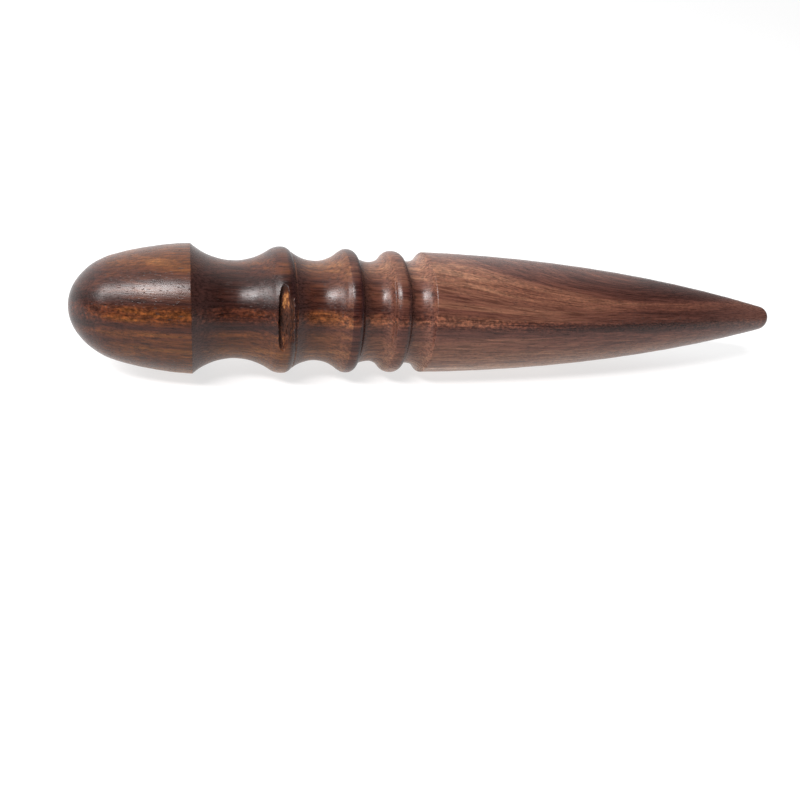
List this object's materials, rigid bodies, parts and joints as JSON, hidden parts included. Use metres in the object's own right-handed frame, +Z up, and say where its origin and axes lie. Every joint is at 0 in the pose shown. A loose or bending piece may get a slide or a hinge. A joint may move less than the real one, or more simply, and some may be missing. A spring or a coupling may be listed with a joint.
{
  "type": "wood edge slicker",
  "caption": "Turned hardwood edge slicker with a rounded bulb, concave burnishing grooves between beads, and a long taper to a blunt tip.",
  "frame": {"origin": "middle of the tool's length, on the surface it lies on, straight below the turning axis", "axes": "+X along the turning axis, from the bulb to the blunt tip; +Z up; the natural void in the first bead faces -Y"},
  "size_m": [0.15, 0.024, 0.024],
  "materials": {
    "dark_hardwood": "satin"
  },
  "bodies": {
    "root": {"turned_body": "dark_hardwood"}
  },
  "joints": []
}
